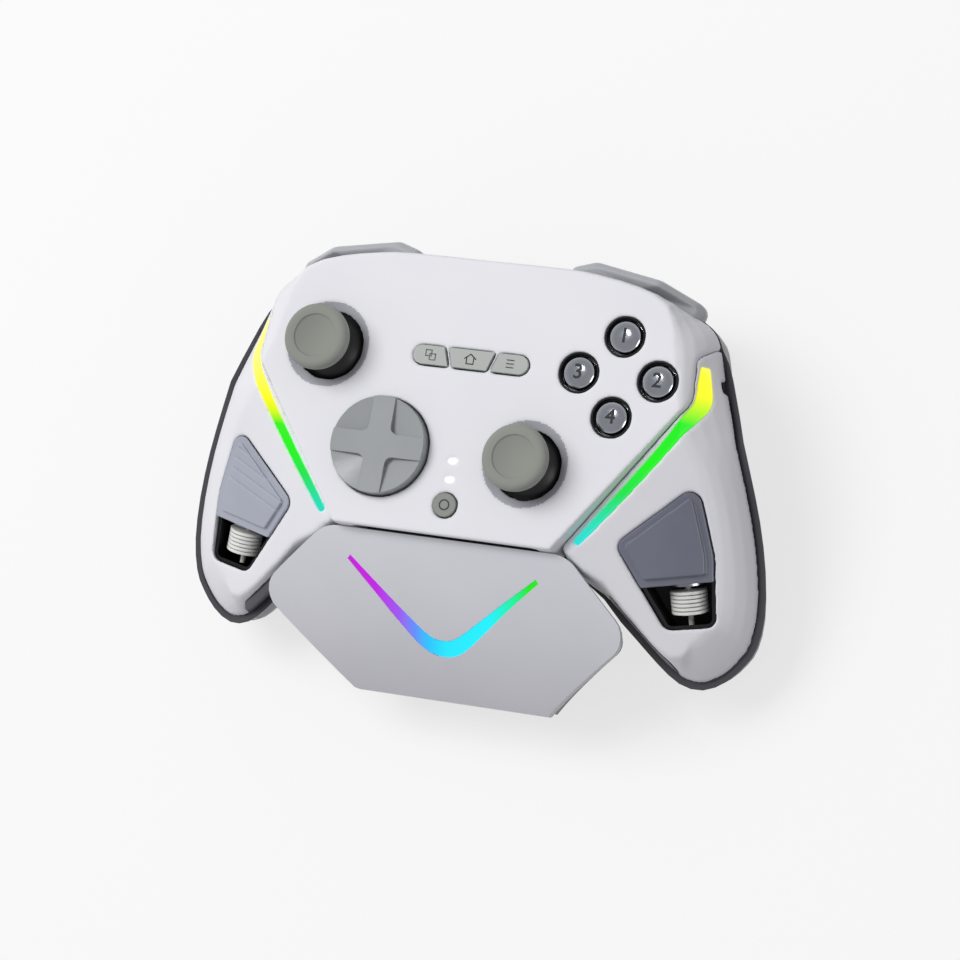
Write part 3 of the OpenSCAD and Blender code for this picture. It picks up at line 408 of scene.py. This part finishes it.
DRESS = [
    # The chin panel takes the white whose colour carries painted shade
    ("chin_panel", chin_white_painted_shade, 0), ("chin_backing", dark_abs, 0.3), ("rear_shell", dark_abs, 0.3),
    ("left_grip_inlay", dark_abs, 0.15), ("right_grip_inlay", dark_abs, 0.15),
    ("left_trigger", shoulder_abs, 0.5), ("right_trigger", shoulder_abs, 0.5),
    ("dpad", key_abs, 0.2), ("view_button", centre_abs, 0.12), ("home_button", centre_abs, 0.12),
    ("menu_button", centre_abs, 0.12), ("mode_button", mode_abs, 0.15),
    ("button_wells", black_abs, 0.1), ("status_lights", status_light, 0),
    ("left_rumble_weight", weight_paint, 0.05), ("right_rumble_weight", weight_paint, 0.05),
]
mouldings = {node: dressed(node, material, edge) for node, material, edge in DRESS}
print("dressed:", len(mouldings), "faces:", sum(len(p.data.polygons) for p in mouldings.values()))

# %% [markdown]
# ## Softening a lofted solid
# The shells, covers and light guides are lofts with a few long facets, and their edges run out into one
# another, so a bevel has no clean edge to work on. A voxel remesh turns such a copy into one even, fine mesh,
# and a few rounds of smoothing then melt facets and edges alike, by about the radius that a real mould has. The
# voxel is chosen from the smallest detail that has to stay.

# %% Remesh and smooth a copy
def softened(node, material, voxel_mm, rounds):
    piece = copy_of(node)
    even = piece.modifiers.new("even_mesh", "REMESH")
    even.mode = "VOXEL"
    even.voxel_size = voxel_mm * MM
    bpy.ops.object.modifier_apply(modifier=even.name)
    melt = piece.modifiers.new("melted_edges", "SMOOTH")
    melt.factor = 0.5
    melt.iterations = rounds
    bpy.ops.object.modifier_apply(modifier=melt.name)
    bpy.ops.object.shade_smooth()
    seat(piece, node, [material])
    return piece


SOFT = [
    ("front_plate", white_abs, 0.52, 10), ("left_grip_panel", white_abs, 0.42, 20),
    ("right_grip_panel", white_abs, 0.42, 20), ("left_bumper", shoulder_abs, 0.3, 16),
    # The covers take the two copies of one slate plastic: painted light on the left, painted shade on the right
    ("right_bumper", shoulder_abs, 0.3, 16), ("left_motor_cover", slate_painted_light_copy, 0.2, 6),
    ("right_motor_cover", slate_painted_shade_copy, 0.2, 6), ("chin_light", vee_light, 0.16, 12),
    ("left_light_strip", pale_strip_light, 0.16, 14), ("right_light_strip", strip_light, 0.16, 14),
]
for node, material, voxel, rounds in SOFT:
    mouldings[node] = softened(node, material, voxel, rounds)
    print(node, "faces:", len(mouldings[node].data.polygons))

# %% [markdown]
# ## Sockets and marks
# The round sockets of the thumbsticks are polished in the mould, and their faces are coloured greyer than the
# satin face as painted shade in the recess. They could be cut out as pieces of their own, but on the real one
# they belong to the plate, so their faces take a second material. They are the faces of the plate that lie
# below its top and near a stick.

# %% Paint shade into the stick sockets
STICKS = {"left": (-41.6, 22.9), "right": (20.3, -3.3)}
SOCKET_R = 12.1
SOCKET_TOP = 51.8

plate = mouldings["front_plate"]
# The socket faces take the greyer white: painted shade in the recess
plate.data.materials.append(socket_white_painted_shade)
for face in plate.data.polygons:
    near = min(math.hypot(face.center.x - x * MM, face.center.y - y * MM) for x, y in STICKS.values())
    if near < SOCKET_R * MM and face.center.z < SOCKET_TOP * MM:
        face.material_index = 1
print("socket faces:", sum(f.material_index for f in plate.data.polygons))

# %% [markdown]
# The marks of the small buttons are sunk a quarter of a millimetre and filled with ink. The sunk faces look up
# and lie at one height, so they are easy to find and take a second material.

# %% Ink the sunk marks
SUNK_Z = 52.25
SUNK_SPREAD = 0.08

for node in ("view_button", "home_button", "menu_button", "mode_button"):
    piece = mouldings[node]
    piece.data.materials.append(ink)
    facing_up = [f for f in piece.data.polygons if f.normal.z > 0.9]
    sunk = [f for f in facing_up if abs(f.center.z - SUNK_Z * MM) < SUNK_SPREAD * MM]
    for face in sunk:
        face.material_index = 1
    print(node, "inked faces:", len(sunk))

# %% [markdown]
# ## Pieces that keep their solid
# The inner pieces show only through gaps, or not at all, so their solids stay as they are and only take the
# right finish.

# %% Finish the inner solids
INNER = {
    black_abs: ["left_motor_bay", "right_motor_bay", "left_stick_yoke", "right_stick_yoke", "dpad_bracket"],
    dark_abs: ["left_shoulder_frame", "right_shoulder_frame", "left_stick_module", "right_stick_module"],
    steel: ["left_rumble_motor", "right_rumble_motor", "left_stick_stem", "right_stick_stem", "dpad_pivot",
            "left_bumper_pin", "right_bumper_pin", "left_trigger_pin", "right_trigger_pin", "usb_port",
            "screws"],
    laminate: ["control_board", "main_board"],
    silicone: ["button_mat"],
    cell_film: ["battery"],
}
for material, nodes in INNER.items():
    for node in nodes:
        frame["nodes"][node].data.materials.clear()
        frame["nodes"][node].data.materials.append(material)
print("inner solids finished:", sum(len(n) for n in INNER.values()))

# %% [markdown]
# ## Turned controls
# A thumbstick and a round button are bodies of revolution. A lathe profile could be spun, but drawing it ring
# by ring is as quick and closes cleanly at the middle: a disc is added, its rim is extruded, moved up and
# resized for each step of the profile. A piece that repeats is turned once and copied to its other places.

# %% Turn a profile ring by ring
SMOOTH_DEG = 40


def turned(name, centre, profile, rim=96):
    bpy.ops.object.select_all(action="DESELECT")
    low_r, low_z = profile[0]
    bpy.ops.mesh.primitive_circle_add(vertices=rim, radius=low_r * MM, fill_type="NGON",
                                      location=(centre[0] * MM, centre[1] * MM, low_z * MM))
    piece = bpy.context.active_object
    piece.name = name
    piece.data.name = name
    bpy.ops.object.transform_apply(location=True, rotation=True, scale=True)
    bpy.ops.object.mode_set(mode="EDIT")
    bpy.ops.mesh.select_all(action="SELECT")
    radius, height = low_r, low_z
    for r, z in profile[1:]:
        bpy.ops.mesh.extrude_region_move(TRANSFORM_OT_translate={"value": (0, 0, (z - height) * MM)})
        share = r / radius
        bpy.ops.transform.resize(value=(share, share, 1),
                                 center_override=(centre[0] * MM, centre[1] * MM, z * MM))
        radius, height = r, z
    bpy.ops.mesh.select_all(action="SELECT")
    bpy.ops.mesh.normals_make_consistent(inside=False)
    bpy.ops.object.mode_set(mode="OBJECT")
    bpy.ops.object.shade_smooth_by_angle(angle=math.radians(SMOOTH_DEG))
    return piece


def arc(centre_r, centre_z, radius, start, end, steps):
    turns = [math.radians(start + (end - start) * k / steps) for k in range(steps + 1)]
    return [(centre_r + radius * math.cos(t), centre_z + radius * math.sin(t)) for t in turns]


def moved_copy(piece, name, start, end):
    only(piece)
    bpy.ops.object.duplicate()
    twin = bpy.context.active_object
    twin.name = name
    twin.data.name = name
    bpy.ops.transform.translate(value=((end[0] - start[0]) * MM, (end[1] - start[1]) * MM, 0))
    bpy.ops.object.transform_apply(location=True, rotation=True, scale=True)
    return twin


print("points of a quarter round:", len(arc(0, 0, 1, 0, 90, 9)))

# %% [markdown]
# ### Thumbsticks
# The cap is soft elastomer moulded over a stiff core: a thick rolled rim, a shallow dish with a fine step at
# its edge, a waisted neck and below it a black ball-shaped skirt that closes the socket at every tilt. The
# profile runs from the bore at the bottom, round the skirt, up the neck and over the rim to the middle.

# %% Draw the thumbstick's profile
CAP_R = 9.1
CAP_TOP = 62.5
CAP_FOOT = 57.2
RIM_ROUND = 1.8
DISH_R = 5.75
DISH_STEP = 0.4
DISH_DEEP = 1.2
DISH_RINGS = 12
PIVOT_Z = 41
SKIRT_R = 12.1
SKIRT_WALL = 1.2

bore = [(1.55, 45.2), (2.7, 45.2), (2.7, 51.6)]
skirt = arc(0, PIVOT_Z, SKIRT_R - SKIRT_WALL, 71, 22, 8) + arc(0, PIVOT_Z, SKIRT_R, 19, 66, 14)
neck = [(4.3, 52.6), (4.2, 53.1), (4.2, 56.9), (4.4, 57.1)]
under = [(7.4, 57.3), (8.0, 57.45), (8.4, 57.8), (8.65, 58.3), (8.8, 58.9)]
edge = [(8.98, 59.8), (CAP_R, 60.6)] + arc(CAP_R - RIM_ROUND, CAP_TOP - RIM_ROUND, RIM_ROUND, 4, 90, 9)
step = [(6.1, CAP_TOP), (5.95, CAP_TOP - 0.04), (5.85, CAP_TOP - 0.2), (DISH_R, CAP_TOP - DISH_STEP)]
shares = [1 - k / DISH_RINGS for k in range(1, DISH_RINGS)]
dish = [(DISH_R * s, CAP_TOP - DISH_STEP - DISH_DEEP * (1 - s ** 2)) for s in shares]
dish.append((0.05, CAP_TOP - DISH_STEP - DISH_DEEP))
stick_profile = bore + skirt + neck + under + edge + step + dish
print("rings of a thumbstick:", len(stick_profile))

# %% Turn one thumbstick and copy it
sticks = {"left": turned("left_thumbstick_cap", STICKS["left"], stick_profile)}
sticks["right"] = moved_copy(sticks["left"], "right_thumbstick_cap", STICKS["left"], STICKS["right"])
for side, piece in sticks.items():
    seat(piece, side + "_thumbstick", [stick_rubber, skirt_rubber])
    for face in piece.data.polygons:
        face.material_index = 1 if face.center.z < CAP_FOOT * MM else 0
print("thumbsticks:", [len(s.data.polygons) for s in sticks.values()])

# %% [markdown]
# ### Round buttons
# Each button is a plated dome in a black well, with a flange that keeps it from falling out. The dome is turned
# once, with a power on the cosine that makes its shoulder fuller than a ball's, and copied to the four places.

# %% Turn one dome and copy it
BUTTON_R = 4.5
FLANGE_R = 5.7
RIM_Z = 51.0
DOME_RISE = 1.5
SHOULDER_POWER = 0.7
BUTTONS = {1: (41.6, 33.9), 2: (52.6, 22.9), 3: (30.6, 22.9), 4: (41.6, 11.9)}

flange = [(FLANGE_R, 46.8), (FLANGE_R, 47.7), (BUTTON_R, 47.75)]
climb = [math.radians(a) for a in range(0, 90, 6)]
crown = [(BUTTON_R * math.cos(t) ** SHOULDER_POWER, RIM_Z + DOME_RISE * math.sin(t)) for t in climb]
crown.append((0.02, RIM_Z + DOME_RISE))
domes = {1: turned("face_button_1_dome", BUTTONS[1], flange + crown, rim=72)}
for number in (2, 3, 4):
    domes[number] = moved_copy(domes[1], "face_button_%d_dome" % number, BUTTONS[1], BUTTONS[number])
print("domes:", [d.name for d in domes.values()])

# %% [markdown]
# The mark of a button is a plain number that stands a little proud. It starts as text, becomes a mesh with a
# thickness and a small bevel, and is joined to its dome, because it moves with it.

# %% Raise a number on each dome
MARK_Z = 51.9
MARK_SIZE = 5.6
MARK_THICK = 0.64
MARK_BEVEL = 0.08


def number_on(dome, number, x, y):
    dome_faces = len(dome.data.polygons)
    bpy.ops.object.select_all(action="DESELECT")
    bpy.ops.object.text_add(location=(x * MM, y * MM, MARK_Z * MM))
    mark = bpy.context.active_object
    mark.data.body = str(number)
    mark.data.size = MARK_SIZE * MM
    mark.data.align_x = "CENTER"
    mark.data.align_y = "CENTER"
    mark.data.extrude = MARK_THICK * MM
    mark.data.bevel_depth = MARK_BEVEL * MM
    mark.data.bevel_resolution = 2
    bpy.ops.object.convert(target="MESH")
    bpy.ops.object.transform_apply(location=True, rotation=True, scale=True)
    bpy.ops.object.shade_smooth_by_angle(angle=math.radians(50))
    dome.select_set(True)
    bpy.context.view_layer.objects.active = dome
    bpy.ops.object.join()
    seat(dome, "face_button_%d" % number, [chrome, ink])
    for face in dome.data.polygons:
        face.material_index = 1 if face.index >= dome_faces else 0


for number, at in BUTTONS.items():
    number_on(domes[number], number, *at)
print("buttons:", [len(d.data.polygons) for d in domes.values()])

# %% [markdown]
# ## Floor
# The stage is a plain pale floor that also takes the soft shadow. A brighter floor would throw its light back
# on the object. So the paper is a mid grey and adds some light of its own for the camera, for reflections and
# for anything seen through clear plastic: that whitens the background and leaves the light on the object
# alone.

# %% Lay the floor
FLOOR_Z = -0.0002
FLOOR_LIFT = 0.71

bpy.ops.object.select_all(action="DESELECT")
bpy.ops.mesh.primitive_plane_add(size=6, location=(0, 0, FLOOR_Z))
floor = bpy.context.active_object
floor.name = "studio_floor"
paper = bpy.data.materials.new("matte_paper_floor")
paper.use_nodes = True
sheet = paper.node_tree
sheet.nodes.clear()
diffuse = add(sheet, "ShaderNodeBsdfDiffuse", {"Color": linear("#8C8C8C")})
rays = add(sheet, "ShaderNodeLightPath").outputs
direct = add(sheet, "ShaderNodeMath", {"operation": "MAXIMUM"},
             {0: rays["Is Camera Ray"], 1: rays["Is Glossy Ray"]})
shown = add(sheet, "ShaderNodeMath", {"operation": "MAXIMUM"},
            {0: direct.outputs["Value"], 1: rays["Is Transmission Ray"]})
seen = add(sheet, "ShaderNodeMath", {"operation": "MULTIPLY", 1: FLOOR_LIFT}, {0: shown.outputs["Value"]})
lift = add(sheet, "ShaderNodeEmission", {"Color": linear("#FFFFFF")}, {"Strength": seen.outputs["Value"]})
both = add(sheet, "ShaderNodeAddShader", {}, {0: diffuse.outputs["BSDF"], 1: lift.outputs["Emission"]})
add(sheet, "ShaderNodeOutputMaterial", {}, {"Surface": both.outputs["Shader"]})
floor.data.materials.append(paper)
print("floor:", floor.name, "of", paper.name)

# %% [markdown]
# ## Light
# The sky, paler at the horizon than overhead, fills the shadows and gives the plated buttons something to
# reflect. One plain grey would do for the shell, but plating that mirrors one tone looks like paint.

# %% Paint the sky
SKY_STRENGTH = 0.6

world = bpy.data.worlds.new("studio_sky")
bpy.context.scene.world = world
world.use_nodes = True
sky = world.node_tree
upward = add(sky, "ShaderNodeTexCoord").outputs["Generated"]
height = add(sky, "ShaderNodeSeparateXYZ", {}, {"Vector": upward})
shade = add(sky, "ShaderNodeValToRGB", {}, {"Fac": height.outputs["Z"]})
shade.color_ramp.elements[0].color = linear("#FFFFFF")
shade.color_ramp.elements[1].position = 0.8
shade.color_ramp.elements[1].color = linear("#C4C4C8")
sky.links.new(shade.outputs["Color"], sky.nodes["Background"].inputs["Color"])
sky.nodes["Background"].inputs["Strength"].default_value = SKY_STRENGTH
print("sky strength:", SKY_STRENGTH)

# %% [markdown]
# One large lamp high at the far left is the key, so that surfaces that slope towards the near edge fall off in
# tone. A tiny second lamp puts the glints on polished pieces; the key itself stays out of the reflections. A
# card at the right shows only in reflections and draws a pale line along the dark rim, as a studio's edge light
# does.

# %% Hang the lamps
AIM = Vector((0, 0, 0.04))
# Place and width in metres, power in watts
LAMPS = {
    "key_lamp": ((-0.72, 0.36, 1.42), 1.0, 15.4),
    "glint_lamp": ((-0.3, 0.5, 1.5), 0.16, 0.9),
    "edge_card": ((1.2, -0.3, 0.42), 0.8, 6),
}


def lamp(name, place, size, power):
    data = bpy.data.lights.new(name, "AREA")
    data.shape = "DISK"
    data.size = size
    data.energy = power
    held = bpy.data.objects.new(name, data)
    held.location = place
    held.rotation_euler = (AIM - Vector(place)).to_track_quat("-Z", "Y").to_euler()
    bpy.context.scene.collection.objects.link(held)
    return held


lamps = {name: lamp(name, *row) for name, row in LAMPS.items()}
lamps["key_lamp"].visible_glossy = False
lamps["edge_card"].visible_diffuse = False
print("lamps:", list(lamps))

# %% [markdown]
# ## Close
# Nothing is left selected when the scene closes.

# %% Finish
bpy.ops.object.select_all(action="DESELECT")
